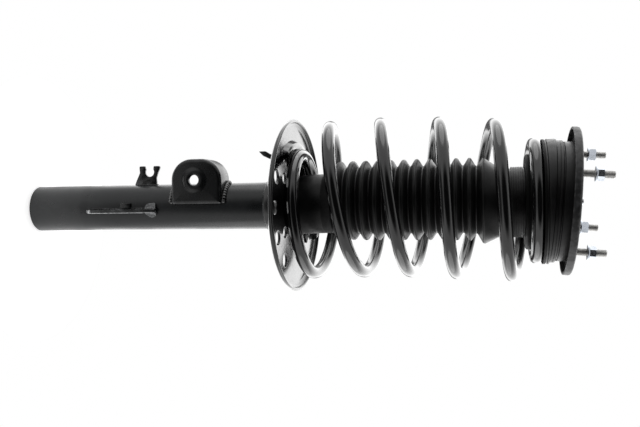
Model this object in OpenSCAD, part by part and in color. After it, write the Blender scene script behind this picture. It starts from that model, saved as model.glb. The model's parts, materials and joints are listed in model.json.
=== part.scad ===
// Suspension strut assembly: a twin-tube damper with its coil spring, dust boot and top mount.
// +Z runs up the strut's axis and the origin is the centre of the tube's lower end.
// The stabiliser link bracket stands out towards -X, and its flat face looks towards -Y.

/* [Damper tube] */
// Radius of the sized stretch that the knuckle clamps
clamp_r = 27; // [26:0.5:30]
// Height of the sized stretch
clamp_top = 70; // [50:1:72]
// Height of the tube's upper end
tube_top = 372; // [370:1:375]
// Wall thickness of the tube
tube_wall = 2.2; // [1.5:0.1:3]
// Radius of the piston rod
rod_r = 11; // [9:0.5:11]

/* [Tube fittings] */
// Lower and upper ends of the locating blade
blade_z = [74, 163]; // [73:1:165]
// Thickness of the locating blade
blade_t = 4; // [3:0.5:5]
// Height of the link hole's centre
link_z = 211.3; // [205:0.1:215]
// Distance from the strut's axis to the link hole
link_x = 30.2; // [29:0.1:33]
// Radius of the link hole
link_r = 6; // [5:0.25:7]
// Centre of the hose clip's round recess, above the tube's lower end
hose_z = 144; // [142:1:146]
// Radius of the hose clip's round recess
hose_r = 5.6; // [5:0.1:6]

/* [Lower spring seat] */
// Outer radius of the seat's rim
seat_r = 97.5; // [95:0.5:100]
// Height of the seat's floor on the strut's axis
seat_z = 321.3; // [318:0.1:322]
// How far the seat leans towards -Y, in degrees
seat_lean = 3; // [0:0.5:3]

/* [Spring and boot] */
// Radius of the spring wire
wire_r = 7; // [6:0.25:7]
// Radius of the main coils, from their axis to the wire's centre
coil_r = 82; // [80:0.5:83]
// How far the coils bow sideways at the middle
bow = 7.4; // [0:0.1:8]
// Number of folds in the boot
boot_folds = 12; // [8:1:14]
// Radius of the boot's folds at their peaks
boot_peak_r = 47.5; // [44:0.5:48]
// Radius of the boot between its folds
boot_valley_r = 36; // [35:0.5:37]

/* [Top mount] */
// Radius of the mount plate
plate_r = 79.5; // [75:0.5:82]
// Height of the plate's upper face on the strut's axis
plate_z = 629.5; // [629:0.5:632]
// Lean of the plate, in degrees
plate_lean = 4.2; // [0:0.2:4.4]
// Diameter of the circle that the studs stand on
stud_circle = 118.9; // [116:0.1:120]
// Number of studs
stud_count = 4; // [3:1:5]
// Radius of a stud
stud_r = 4; // [4:0.1:4.2]
// Length of a stud above the plate
stud_length = 32.5; // [30:0.5:36]

/* [Hidden] */
$fn = 96;

eps = 0.01;
snug = 0.05;       // gap of a snug fit within one body
edge = 0.4;        // small chamfer on the tube's lower end
past = 1;          // how far a cutter reaches past the faces it cuts
far = 100;         // larger than anything that a leaning plane has to cut

// Tube and damper
tube_r = clamp_r - 0.3;
bore_r = tube_r - tube_wall;
clamp_fade = 1;    // height of the cone between the sized stretch and the tube
cap_floor = 3;
cap_z = [-8, 6];   // the upper cap, from the tube's upper end
cap_side = 2.3;
dimple_circle_r = 24;
dimple_r = 1.6;
inner_r = 16;
inner_z = [18, 350];
guide_z = [350, 364];
guide_drop = 6;    // how far the guide reaches down into the pressure cylinder
bush_t = 1.6;
piston_z = [300, 316];
piston_nut_h = 8;
piston_nut_flats = 19;
shoulder_z = 597.5;
rod_top = 633.5;
tail_r = 6;        // the rod's lower end, which the piston sits on
tail_z = [290, 318];
thread_r = 7;
tip_r = 4.2;
tip_top = 638.5;

// Tube fittings
blade_turn = 7.8;
blade_out = 34.5;
ear_z = 149.5;
ear_w = 9;
ear_t = 3;
square_tab_z = [119, 131];
square_tab_w = 9;
blade_root = 2;    // how far the blade and its ears start inside the tube
clip_t = 3;
clip_reach = 42;   // from the strut's axis to the middle of the recess
clip_mouth = 9.4;
hood_z = [183, 243];
hood_top = 54.5;
hood_foot = 2.6;
hood_corner = 24;
hood_wall = 4;
hood_back = 1;
plate_y = 28.5;
plate_t = 3.5;
bend_y = [1.5, 2.7];   // the flat face's rounded edge, in two steps
bend_in = [1, 2.6];
boss_h = 1.6;
boss_r = [13.5, 10];

// Lower spring seat
sheet = 3;
neck_r = 29.7;
neck_z = 292;
rim_h = 5.1;
rib_r = [63.5, 72.5];
rib_h = 6;
drain_r = 72;
drain_hole = 7.5;
drain_turns = [-25.5, 2, 29, 57.5, 122, 151, 178, 205];
inner_drain_r = 48;
inner_drain_hole = 6;
inner_drain_turns = [-38.5, 38.5, 141.5];
neck_rise = 2;     // how far the neck stands over the seat's floor
tab_drop = 0.4;    // keeps the tab's flat top clear of the leaning seat

// Spring: height of the wire's centre, and radius, against turns counted from the link bracket's side
coil_start = -0.62;
coil_end = 5.4;
coil_rise = [
  [-0.62, 330.3], [-0.4, 330.8], [-0.25, 332.6], [0, 337.6], [0.25, 342.8], [0.5, 354.5],
  [0.75, 370], [1, 383.5], [4, 554.5], [4.35, 573.8], [4.6, 585], [4.75, 587.4], [5, 589],
  [5.4, 589.3]
];
end_coil_r = [55, 60.5];
pad_gap = 0.3;
pad_h = coil_rise[0][1] - seat_z - wire_r - pad_gap;
coil_radius = [
  [-0.62, end_coil_r[0]], [-0.25, end_coil_r[0] + 0.5], [0, 66], [0.25, 79.5], [0.5, coil_r],
  [1, coil_r], [4, coil_r], [4.25, coil_r - 1], [4.5, 70], [4.62, 65.8], [4.75, 62.8],
  [5, end_coil_r[1]], [5.4, end_coil_r[1]]
];
bow_z = [330, 590];
bow_skew = 0.736;
coil_tilt = 0.07;
rings_a_turn = 36;
wire_sides = 10;

// Boot
boot_z = [323.6, 577];
boot_wall = 2;
skirt_r = 33.6;
fold_first = 376;
fold_last = 534;
boot_neck_r = 36.6;
band_z = [563, 575.5];

// Upper spring seat and bearing
seat_top = 599.3;
seat_disc_r = 66.5;
seat_disc_t = 1.5;
seat_floor_t = 3;
seat_wall_r = [44, 46.5];
spigot_r = [31, 34.6];
spigot_z = 560;
cup_z = 581.2;
insulator_r = 67.2;
insulator_z = 577.6;
flange_t = 1.2;
lip_z = 594.4;
ball_z = 589.8;
ball_r = 2.5;
ball_circle_r = 38;
ball_count = 24;
race_z = [588.4, 591.2];
groove_r = 2.8;

// Top mount
body_z = 599.7;
body_foot = 3.8;   // the short foot that presses on the bearing
body_foot_r = 43;
body_band_top = 605.9;
body_step_top = 612.4;
groove_top = 614;
band_lean = 3.6;
step_lean = 4.4;
body_band_r = 67.3;
body_step_r = 65.5;
body_r = 64;
groove_depth_r = 62.5;
rubber_r = 33;
core_r = 13;
core_z = [592.2, 624];
washer_top = 626.5;
sheet_t = 3;
mouth_r = 20.5;    // the hole in the middle of the plate
bead_r = [36, 44];
rim_drop = 8.2;
stud_root = 8.2;
knurl_r = 4.3;
stud_edge = 0.8;
nut_z = [13.1, 21.7];
nut_zone = 0.1;
hex_flats = 12;
nut_flange_r = 7.8;
nut_flange_t = 1.3;
rod_nut_flats = 21;
rod_nut_h = 7;
bump_z = [504.5, 590];
bump_r = 26;
bump_cup_r = 28.2;
bump_cup_low = 572;

// ---- shared shapes ----

// Extrudes an outline of (distance out, height) into a plate whose faces look sideways.
module radial_plate(t) {
  rotate([90, 0, -90]) translate([0, 0, -t / 2]) linear_extrude(t) children();
}

// Extrudes an outline of (distance towards -X, height) between two distances along Y.
module facing_plate(y0, y1) {
  rotate([90, 0, 180]) translate([0, 0, y0]) linear_extrude(y1 - y0) children();
}

module ring(r_in, r_out, z0, z1) {
  translate([0, 0, z0]) difference() {
    cylinder(r = r_out, h = z1 - z0);
    translate([0, 0, -past]) cylinder(r = r_in, h = z1 - z0 + 2 * past);
  }
}

// A ring-shaped piece of a circle, from one turn to another, counted from -Y towards +X.
module sector(r_in, r_out, h, from, to) {
  rotate([0, 0, from - 90]) rotate_extrude(angle = to - from)
    translate([r_in, 0]) square([r_out - r_in, h]);
}

module around(turns, r) {
  for (a = turns) rotate([0, 0, a]) translate([0, -r, 0]) children();
}

// Smooth curve through a list of [place, value] points.
function slope_at(p, i) =
  let (a = p[max(i - 1, 0)], b = p[min(i + 1, len(p) - 1)]) (b[1] - a[1]) / (b[0] - a[0]);
function smooth(p, t) =
  let (
    i = max([0, for (k = [0:len(p) - 2]) if (p[k][0] <= t) k]),
    h = p[i + 1][0] - p[i][0],
    u = (t - p[i][0]) / h,
    ease = u * u * (3 - 2 * u)
  )
  p[i][1] * (1 - ease) + p[i + 1][1] * ease
    + h * slope_at(p, i) * u * (1 - u) * (1 - u)
    - h * slope_at(p, i + 1) * u * u * (1 - u);

// ---- damper tube and what is welded to it ----

module outer_tube() {
  color("#3a3d40") difference() {
    union() {
      cylinder(r1 = clamp_r - edge, r2 = clamp_r, h = edge);
      translate([0, 0, edge]) cylinder(r = clamp_r, h = clamp_top - edge);
      translate([0, 0, clamp_top]) cylinder(r1 = clamp_r, r2 = tube_r, h = clamp_fade);
      translate([0, 0, clamp_top + clamp_fade])
        cylinder(r = tube_r, h = tube_top - clamp_top - clamp_fade);
    }
    translate([0, 0, -past]) cylinder(r = bore_r, h = tube_top + 2 * past);
  }
}

module base_cap() {
  color("#3a3d40") rotate_extrude() polygon([
    [0, 1.2], [bore_r - 4, 1.2], [bore_r - snug, 2], [bore_r - snug, 11], [bore_r - 3, 11],
    [bore_r - 3, cap_floor + 1.5], [0, cap_floor + 1.5]
  ]);
}

module locating_blade() {
  color("#2c2e30") difference() {
    rotate([0, 0, blade_turn]) union() {
      radial_plate(blade_t) polygon([
        [tube_r - blade_root, blade_z[0]], [tube_r + 1, blade_z[0]], [blade_out, blade_z[0] + 7],
        [blade_out, blade_z[1]], [tube_r - blade_root, blade_z[1]]
      ]);
      for (side = [-1, 1]) facing_plate(-blade_out + ear_t, -tube_r + blade_root) polygon([
        [0, ear_z], [side * 3, ear_z], [side * ear_w, ear_z + 8], [side * ear_w, blade_z[1] - 2],
        [side * (ear_w - 3), blade_z[1]], [0, blade_z[1]]
      ]);
      facing_plate(-tube_r - 2.5, -tube_r + blade_root)
        translate([0, square_tab_z[0]]) square([square_tab_w, square_tab_z[1] - square_tab_z[0]]);
    }
    cylinder(r = tube_r, h = tube_top);
  }
}

module hose_clip() {
  color("#232425") difference() {
    facing_plate(-clip_t / 2, clip_t / 2) polygon([
      [24, 125.5], [27.5, 125.5], [32.7, 127.6], [41, 131.5], [48, 131], [49, 132], [49, 156],
      [48, 157.2], [46, 156.7], [41, 154.4], [34.7, 152.4], [27.5, 153], [24, 153]
    ]);
    facing_plate(-clip_t, clip_t) union() {
      translate([clip_reach, hose_z]) circle(r = hose_r);
      translate([clip_reach, hose_z - clip_mouth / 2]) square([10, clip_mouth]);
    }
    cylinder(r = tube_r, h = tube_top);
  }
}

// The bracket's outline seen from the front: a square foot with two round upper corners.
module hood_outline(inset) {
  r = hood_corner - inset;
  z0 = hood_z[0] + inset;
  z1 = hood_z[1] - inset;
  top = hood_top - inset;
  foot = inset > 0 && inset >= hood_wall ? hood_foot - 5 : hood_foot;
  translate([foot, z0]) square([top - r - foot, z1 - z0]);
  translate([foot, z0 + r]) square([top - foot, z1 - z0 - 2 * r]);
  for (z = [z0 + r, z1 - r]) translate([top - r, z]) circle(r = r);
}

module link_bracket() {
  color("#2c2e30") difference() {
    union() {
      facing_plate(-plate_y, -hood_back) difference() {
        hood_outline(0);
        hood_outline(hood_wall);
      }
      facing_plate(-plate_y - bend_y[0], -plate_y) hood_outline(0);
      facing_plate(-plate_y - bend_y[1], -plate_y - bend_y[0]) hood_outline(bend_in[0]);
      facing_plate(-plate_y - plate_t, -plate_y - bend_y[1]) hood_outline(bend_in[1]);
      translate([-link_x, -plate_y - plate_t, link_z]) rotate([90, 0, 0])
        cylinder(r1 = boss_r[0], r2 = boss_r[1], h = boss_h);
    }
    translate([-link_x, -plate_y + past, link_z]) rotate([90, 0, 0])
      cylinder(r = link_r, h = plate_t + boss_h + 2 * past);
    cylinder(r = tube_r, h = tube_top);
  }
}

// ---- lower spring seat ----

module seat_frame() {
  translate([0, 0, seat_z]) rotate([seat_lean, 0, 0]) children();
}

module lower_spring_seat() {
  r = seat_r;
  color("#161719") difference() {
    union() {
      seat_frame() rotate_extrude() polygon([
        [neck_r - 1, -sheet], [r - 8.5, -sheet], [r - 4.2, -1.9], [r - 1.3, 0.4], [r, 3],
        [r, rim_h - 0.8], [r - 0.8, rim_h], [r - 2.2, rim_h], [r - 3, rim_h - 0.8],
        [r - 3, 3.2], [r - 5.4, 1], [r - 8.5, 0], [neck_r - 1, 0]
      ]);
      seat_frame() translate([0, 0, -eps])
        sector(rib_r[0], rib_r[1], rib_h + eps, -150, -52);
      translate([0, 0, neck_z]) cylinder(r = neck_r, h = seat_z + neck_rise - neck_z);
    }
    seat_frame() translate([0, 0, -sheet - past]) {
      around(drain_turns, drain_r) cylinder(r = drain_hole, h = sheet + rib_h + 2 * past);
      around(inner_drain_turns, inner_drain_r) cylinder(r = inner_drain_hole, h = sheet + 2 * past);
    }
    cylinder(r = tube_r, h = tube_top);
  }
}

module line_tab() {
  top = seat_z - sheet - tab_drop;
  color("#1b1c1d") facing_plate(-2, 2) polygon([
    [43.5, top], [50, top], [59.6, 293], [62.9, 287.6], [62.8, 279.8], [57.4, 285.1], [54.3, 291.8]
  ]);
}

module lower_insulator() {
  color("#101010") seat_frame() translate([0, 0, snug])
    sector(end_coil_r[0] - wire_r - 1, rib_r[0] - 0.3, pad_h - snug, -226, -62);
}

// ---- spring and boot ----

function bow_share(z) = min(max((z - bow_z[0]) / (bow_z[1] - bow_z[0]), 0), 1);
function coil_shift(z) = -bow * sin(180 * pow(bow_share(z), bow_skew));
// The seat's lean, which the coil keeps until it has left the seat.
function seat_share(t) = let (u = min(max((t + 0.25) / 0.75, 0), 1)) 1 - u * u * (3 - 2 * u);
function coil_point(t) =
  let (
    z = smooth(coil_rise, t),
    r = smooth(coil_radius, t),
    x = r * sin(360 * t),
    y = -r * cos(360 * t)
  )
  [
    x + coil_shift(z), y,
    z + coil_tilt * sin(360 * bow_share(z)) * x + tan(seat_lean) * seat_share(t) * y
  ];

module coil_spring() {
  count = ceil((coil_end - coil_start) * rings_a_turn);
  step = (coil_end - coil_start) / count;
  points = [for (i = [0:count], k = [0:wire_sides - 1])
    let (
      t = coil_start + i * step,
      along = coil_point(t + step / 4) - coil_point(t - step / 4),
      across = cross([0, 0, 1], along),
      out = across / norm(across),
      up = cross(along, out) / norm(along),
      a = 360 * k / wire_sides
    )
    coil_point(t) + wire_r * (cos(a) * out + sin(a) * up)];
  sides = [for (i = [0:count - 1], k = [0:wire_sides - 1])
    let (n = (k + 1) % wire_sides, base = i * wire_sides)
    [base + k, base + wire_sides + k, base + wire_sides + n, base + n]];
  first = [for (k = [0:wire_sides - 1]) k];
  last = [for (k = [wire_sides - 1:-1:0]) count * wire_sides + k];
  color("#121314") polyhedron(points, concat([first], sides, [last]), convexity = 10);
}

module dust_boot() {
  pitch = (fold_last - fold_first) / (boot_folds - 1);
  folds = [for (i = [0:2 * boot_folds - 2])
    [i % 2 == 0 ? boot_peak_r : boot_valley_r, fold_first + i / 2 * pitch]];
  wall = concat(
    [[skirt_r, boot_z[0]], [boot_valley_r, fold_first - pitch / 2]],
    folds,
    [[boot_neck_r, 555], [boot_neck_r, boot_z[1]]]
  );
  inside = [for (i = [len(wall) - 1:-1:0]) [wall[i][0] - boot_wall, wall[i][1]]];
  color("#1d1e1f") rotate_extrude() polygon(concat(wall, inside));
}

// ---- inside the damper ----

module pressure_cylinder() {
  color("silver") ring(inner_r, inner_r + 2, inner_z[0], inner_z[1]);
}

module foot_valve() {
  color("darkgray") difference() {
    rotate_extrude() polygon([
      [3, 11.2], [bore_r - 1, 11.2], [bore_r - 1, 14], [19, inner_z[0] - snug],
      [inner_r - snug, inner_z[0] - snug], [inner_r - snug, 24], [3, 24]
    ]);
    around([0:60:300], 10) translate([0, 0, 10]) cylinder(r = 1.5, h = 20);
  }
}

module rod_guide() {
  color("darkgray") rotate_extrude() polygon([
    [rod_r + bush_t, guide_z[0] - guide_drop], [inner_r - snug, guide_z[0] - guide_drop],
    [inner_r - snug, guide_z[0]], [bore_r - snug, guide_z[0]], [bore_r - snug, guide_z[1]],
    [rod_r + bush_t, guide_z[1]]
  ]);
}

module guide_bush() {
  color("#8a6a3c") ring(rod_r + snug, rod_r + bush_t - eps, guide_z[0] - guide_drop, guide_z[1]);
}

module rod_seal() {
  color("#151515") rotate_extrude() polygon([
    [rod_r + 0.06, guide_z[1] + snug], [bore_r - snug, guide_z[1] + snug],
    [bore_r - snug, tube_top - snug], [rod_r + 4, tube_top - snug],
    [rod_r + 2, guide_z[1] + 4], [rod_r + 0.06, guide_z[1] + 4]
  ]);
}

module tube_cap() {
  color("#3a3d40") difference() {
    rotate_extrude() polygon([
      [rod_r + 1.5, tube_top], [tube_r + snug, tube_top], [tube_r + snug, tube_top + cap_z[0]],
      [tube_r + cap_side, tube_top + cap_z[0]], [tube_r + cap_side, tube_top + cap_z[1] - 2],
      [tube_r + cap_side - 2, tube_top + cap_z[1]], [rod_r + 1.5, tube_top + cap_z[1]]
    ]);
    around([0:60:300], dimple_circle_r) translate([0, 0, tube_top + cap_z[1] / 2])
      cylinder(r = dimple_r, h = cap_z[1] / 2 + past);
  }
}

// ---- upper spring seat and bearing ----

module upper_spring_seat() {
  color("#26282a") rotate_extrude() polygon([
    [spigot_r[0], spigot_z], [spigot_r[1], spigot_z], [spigot_r[1], cup_z],
    [seat_wall_r[1], cup_z], [seat_wall_r[1], seat_top - seat_disc_t],
    [seat_disc_r, seat_top - seat_disc_t], [seat_disc_r, seat_top], [seat_wall_r[0], seat_top],
    [seat_wall_r[0], cup_z + seat_floor_t], [spigot_r[0], cup_z + seat_floor_t]
  ]);
}

module upper_insulator() {
  top = seat_top - seat_disc_t - snug;
  in_r = seat_wall_r[1] + snug;
  color("#1a1b1c") rotate_extrude() polygon([
    [spigot_r[1] + snug, insulator_z], [49.5, insulator_z], [51.5, insulator_z + 2],
    [51.5, insulator_z + 5], [49, insulator_z + 6.5], [49, top - flange_t], [65.5, top - flange_t],
    [65.8, lip_z], [insulator_r, lip_z], [insulator_r, top], [in_r, top],
    [in_r, cup_z - snug], [spigot_r[1] + snug, cup_z - snug]
  ]);
}

module boot_band() {
  color("#2a2b2d") ring(boot_neck_r + snug, boot_neck_r + 1.7, band_z[0], band_z[1]);
}

module ball_groove() {
  rotate_extrude() translate([ball_circle_r, ball_z]) circle(r = groove_r);
}

module bearing_lower_race() {
  color("silver") difference() {
    ring(spigot_r[0] + 1.5, seat_wall_r[0] - 0.2, cup_z + seat_floor_t, race_z[0]);
    ball_groove();
  }
}

module bearing_upper_race() {
  color("silver") difference() {
    ring(rubber_r + 0.6, body_foot_r, race_z[1], body_z - body_foot);
    ball_groove();
  }
}

module ball_ring(r) {
  around([0:360 / ball_count:359], ball_circle_r) translate([0, 0, ball_z]) sphere(r = r, $fn = 24);
}

module bearing_balls() {
  color("lightgray") ball_ring(ball_r);
}

module bearing_cage() {
  color("#c8c09a") difference() {
    ring(ball_circle_r - 3.4, ball_circle_r + 3.4, ball_z - 0.6, ball_z + 0.6);
    ball_ring(ball_r + snug);
  }
}

// ---- top mount ----

module plate_frame() {
  translate([0, 0, plate_z]) rotate([0, plate_lean, 0]) children();
}

// Keeps what lies below a leaning plane that crosses the strut's axis at a height.
module below(z, lean) {
  intersection() {
    children();
    translate([0, 0, z]) rotate([0, lean, 0]) translate([-far, -far, -far]) cube([2 * far, 2 * far, far]);
  }
}

module body_disc(r) {
  translate([0, 0, body_z]) cylinder(r = r, h = plate_z + rim_drop - body_z);
}

module mount_body() {
  color("#222325") difference() {
    union() {
      below(body_band_top, band_lean) body_disc(body_band_r);
      below(body_step_top, step_lean) body_disc(body_step_r);
      below(groove_top + past, plate_lean) body_disc(groove_depth_r);
      intersection() {
        body_disc(body_r);
        plate_frame() translate([-far, -far, groove_top - plate_z])
          cube([2 * far, 2 * far, plate_z - groove_top - sheet_t]);
      }
      translate([0, 0, body_z - body_foot]) cylinder(r = body_foot_r, h = body_foot + past);
    }
    translate([0, 0, body_z - far]) cylinder(r = rubber_r + snug, h = 2 * far);
    plate_frame() stud_places() translate([0, 0, -stud_root - 0.1])
      cylinder(r = knurl_r, h = stud_root + past);
  }
}

module mount_plate() {
  r = plate_r;
  color("#303134") plate_frame() difference() {
    rotate_extrude() union() {
      translate([mouth_r, -sheet_t]) square([r - sheet_t - mouth_r, sheet_t]);
      intersection() {
        translate([r - sheet_t, -sheet_t]) circle(r = sheet_t);
        translate([r - sheet_t, -sheet_t]) square([sheet_t, sheet_t]);
      }
      translate([r - sheet_t, -rim_drop]) square([sheet_t, rim_drop - sheet_t]);
      translate([mouth_r, -sheet_t]) square([2.5, 2 * sheet_t]);
      translate([bead_r[0], -eps]) square([bead_r[1] - bead_r[0], 1.5]);
    }
    stud_places() translate([0, 0, -rim_drop]) cylinder(r = knurl_r, h = 2 * rim_drop);
  }
}

module mount_rubber() {
  color("#141414") rotate_extrude() polygon([
    [core_r + snug, 600], [20, 600], [24, 604], [28, 604], [rubber_r, 600], [rubber_r, 620],
    [27, 622], [22, 618], [18, 618], [core_r + snug, 622.5]
  ]);
}

module mount_core() {
  color("#6f7275") rotate_extrude() polygon([
    [rod_r + 0.1, core_z[0]], [29, core_z[0]], [29, 595], [core_r, 597], [core_r, core_z[1]],
    [thread_r + snug, core_z[1]], [thread_r + snug, shoulder_z], [rod_r + 0.1, shoulder_z]
  ]);
}

module stud_places() {
  for (i = [0:stud_count - 1]) rotate([0, 0, 61.6 + 360 * i / stud_count])
    translate([stud_circle / 2, 0, 0]) children();
}

module mount_studs() {
  color("#b9bcc0") plate_frame() stud_places() {
    translate([0, 0, -stud_root]) cylinder(r = knurl_r, h = stud_root + 0.2);
    translate([0, 0, 0.2]) cylinder(r = stud_r, h = nut_z[0] - nut_zone - 0.2);
    translate([0, 0, nut_z[0] - nut_zone])
      cylinder(r = stud_r - 0.2, h = nut_z[1] - nut_z[0] + 2 * nut_zone);
    translate([0, 0, nut_z[1] + nut_zone])
      cylinder(r = stud_r, h = stud_length - nut_z[1] - nut_zone - stud_edge);
    translate([0, 0, stud_length - stud_edge])
      cylinder(r1 = stud_r, r2 = stud_r - stud_edge, h = stud_edge);
  }
}

module stud_nuts() {
  color("#c9ced6") plate_frame() stud_places() translate([0, 0, nut_z[0]]) difference() {
    union() {
      cylinder(r = nut_flange_r, h = nut_flange_t);
      translate([0, 0, nut_flange_t])
        cylinder(r1 = nut_flange_r, r2 = hex_flats / 2, h = nut_flange_t);
      cylinder(r = hex_flats / sqrt(3), h = nut_z[1] - nut_z[0], $fn = 6);
    }
    translate([0, 0, -past]) cylinder(r = stud_r - 0.15, h = nut_z[1] - nut_z[0] + 2 * past);
  }
}

module core_washer() {
  color("#9a9da1") ring(thread_r + snug, 18, core_z[1], washer_top);
}

module rod_nut() {
  color("#b9bcc0") difference() {
    translate([0, 0, washer_top]) union() {
      cylinder(r = 13, h = 1.8);
      cylinder(r = rod_nut_flats / sqrt(3), h = rod_nut_h, $fn = 6);
    }
    translate([0, 0, washer_top - past]) cylinder(r = thread_r + snug, h = rod_nut_h + 2 * past);
  }
}

module bump_cup() {
  color("#6f7275") rotate_extrude() polygon([
    [rod_r + 0.6, bump_z[1] + 0.2], [bump_r + 0.2, bump_z[1] + 0.2], [bump_r + 0.2, bump_cup_low],
    [bump_cup_r, bump_cup_low], [bump_cup_r, core_z[0]], [rod_r + 0.6, core_z[0]]
  ]);
}

module bump_stop() {
  color("#b7a24a") rotate_extrude() polygon([
    [rod_r + 0.6, bump_z[0]], [16, bump_z[0]], [18, bump_z[0] + 3], [18, 514], [22, 520],
    [22, 528], [18.5, 532], [18.5, 535], [24, 541], [24, 549], [20, 553], [20, 556],
    [bump_r, 563], [bump_r, bump_z[1]], [rod_r + 0.6, bump_z[1]]
  ]);
}

// ---- rod and piston ----

module piston_rod() {
  color("#d9dce0") {
    translate([0, 0, tail_z[0]]) cylinder(r = tail_r, h = tail_z[1] - tail_z[0] + past);
    translate([0, 0, tail_z[1]]) cylinder(r = rod_r, h = shoulder_z - tail_z[1]);
    translate([0, 0, shoulder_z]) cylinder(r = thread_r, h = rod_top - shoulder_z);
    translate([0, 0, rod_top]) cylinder(r = tip_r, h = tip_top - rod_top);
  }
}

module rebound_stop() {
  color("#c8c09a") ring(rod_r + snug, 15, 333, guide_z[0] - guide_drop - 0.3);
}

module piston() {
  color("darkgray") difference() {
    rotate_extrude() polygon([
      [tail_r + snug, piston_z[0]], [15.5, piston_z[0]], [15.5, piston_z[0] + 3],
      [14.8, piston_z[0] + 3], [14.8, piston_z[1] - 3], [15.5, piston_z[1] - 3],
      [15.5, piston_z[1]], [12, tail_z[1]], [tail_r + snug, tail_z[1]]
    ]);
    around([0:60:300], 10.5) translate([0, 0, piston_z[0] - past])
      cylinder(r = 1.4, h = tail_z[1] - piston_z[0] + 2 * past);
  }
}

module piston_band() {
  color("#4b3b2a") ring(14.85, inner_r - 0.06, piston_z[0] + 3.05, piston_z[1] - 3.05);
}

module piston_nut() {
  color("silver") difference() {
    translate([0, 0, piston_z[0] - piston_nut_h])
      cylinder(r = piston_nut_flats / sqrt(3), h = piston_nut_h, $fn = 6);
    translate([0, 0, piston_z[0] - piston_nut_h - past])
      cylinder(r = tail_r + snug, h = piston_nut_h + 2 * past);
  }
}

outer_tube();
base_cap();
locating_blade();
hose_clip();
link_bracket();
lower_spring_seat();
line_tab();
lower_insulator();
coil_spring();
dust_boot();
pressure_cylinder();
foot_valve();
rod_guide();
guide_bush();
rod_seal();
tube_cap();
upper_spring_seat();
upper_insulator();
boot_band();
bearing_lower_race();
bearing_balls();
bearing_cage();
bearing_upper_race();
mount_body();
mount_plate();
mount_rubber();
mount_core();
mount_studs();
stud_nuts();
core_washer();
rod_nut();
bump_cup();
bump_stop();
piston_rod();
rebound_stop();
piston();
piston_band();
piston_nut();
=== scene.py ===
"""A suspension strut: damper tube, coil spring, dust boot and turning top mount, on a white floor.

Shapes are built in millimetres in the frame's own axes, +Z up the strut, and scaled to metres when a
mesh is made. A turn is an angle about Z, counted in degrees from -Y towards +X.
"""

import json
import math

import bmesh
import bpy
from mathutils import Matrix, Vector, noise


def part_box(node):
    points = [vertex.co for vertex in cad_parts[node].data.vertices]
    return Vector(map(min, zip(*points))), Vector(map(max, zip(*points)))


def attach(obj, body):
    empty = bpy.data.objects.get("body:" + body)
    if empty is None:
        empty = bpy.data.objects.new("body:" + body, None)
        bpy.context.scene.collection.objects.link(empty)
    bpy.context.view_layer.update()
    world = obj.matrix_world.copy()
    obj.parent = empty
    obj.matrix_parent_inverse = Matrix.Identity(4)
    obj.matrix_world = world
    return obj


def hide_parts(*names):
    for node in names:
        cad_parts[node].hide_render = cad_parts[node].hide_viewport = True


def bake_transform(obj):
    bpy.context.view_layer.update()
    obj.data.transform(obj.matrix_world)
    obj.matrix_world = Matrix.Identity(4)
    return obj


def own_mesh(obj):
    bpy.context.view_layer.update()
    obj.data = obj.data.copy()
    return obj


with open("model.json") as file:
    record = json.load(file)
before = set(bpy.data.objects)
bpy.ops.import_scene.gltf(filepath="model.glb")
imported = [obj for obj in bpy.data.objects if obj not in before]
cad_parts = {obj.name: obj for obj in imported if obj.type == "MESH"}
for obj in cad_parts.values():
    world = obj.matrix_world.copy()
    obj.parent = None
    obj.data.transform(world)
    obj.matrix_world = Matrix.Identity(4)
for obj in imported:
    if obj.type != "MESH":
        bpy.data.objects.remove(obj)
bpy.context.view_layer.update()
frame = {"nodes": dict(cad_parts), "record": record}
NODES = frame["nodes"]
MM = 0.001


# ---- the frame's sizes, in millimetres ----

def reach(node):
    """The largest distance that a node keeps from the strut's axis, along X or Y."""
    low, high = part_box(node)
    return max(-low.x, high.x, -low.y, high.y) / MM


def span(node):
    """A node's lowest and highest point along Z."""
    low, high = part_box(node)
    return low.z / MM, high.z / MM


CLAMP_R = reach("outer_tube")
TUBE_R = CLAMP_R - 0.3
TUBE_TOP = span("outer_tube")[1]
SEAT_R = (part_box("lower_spring_seat")[1].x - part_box("lower_spring_seat")[0].x) / 2 / MM
SEAT_Z = 321.3
SEAT_LEAN = 3.0
SHEET = 3.0
PLATE_Z = 629.5
PLATE_LEAN = 4.2
PLATE_R = 79.5
STUD_CIRCLE_R = 59.45
STUD_TURNS = [151.6 + 90 * i for i in range(4)]
STUD_HOLE_R = 4.3
WIRE_R = 7.0

PLATE_FRAME = Matrix.Translation((0, 0, PLATE_Z)) @ Matrix.Rotation(math.radians(PLATE_LEAN), 4, "Y")


# ---- building shapes: a shape is (points, faces) ----

def ease(low, high, value):
    """0 below low, 1 above high and smooth between them."""
    t = min(max((value - low) / (high - low), 0), 1)
    return t * t * (3 - 2 * t)


def rounded(corners, step=18):
    """A closed outline whose corners (a, b, radius) are arcs; (a, b) stays sharp."""
    outline = []
    for i, corner in enumerate(corners):
        here = Vector(corner[:2])
        if len(corner) == 2:
            outline.append(tuple(here))
            continue
        before = (Vector(corners[i - 1][:2]) - here).normalized()
        after = (Vector(corners[(i + 1) % len(corners)][:2]) - here).normalized()
        half = before.angle(after) / 2
        back = corner[2] / math.tan(half)
        centre = here + (before + after).normalized() * (corner[2] / math.sin(half))
        start, end = here + before * back - centre, here + after * back - centre
        sweep_angle = start.angle_signed(end)
        count = max(2, math.ceil(abs(math.degrees(sweep_angle)) / step))
        for k in range(count + 1):
            arm = start.copy()
            arm.rotate(Matrix.Rotation(-sweep_angle * k / count, 2))
            outline.append(tuple(centre + arm))
    return outline


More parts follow.
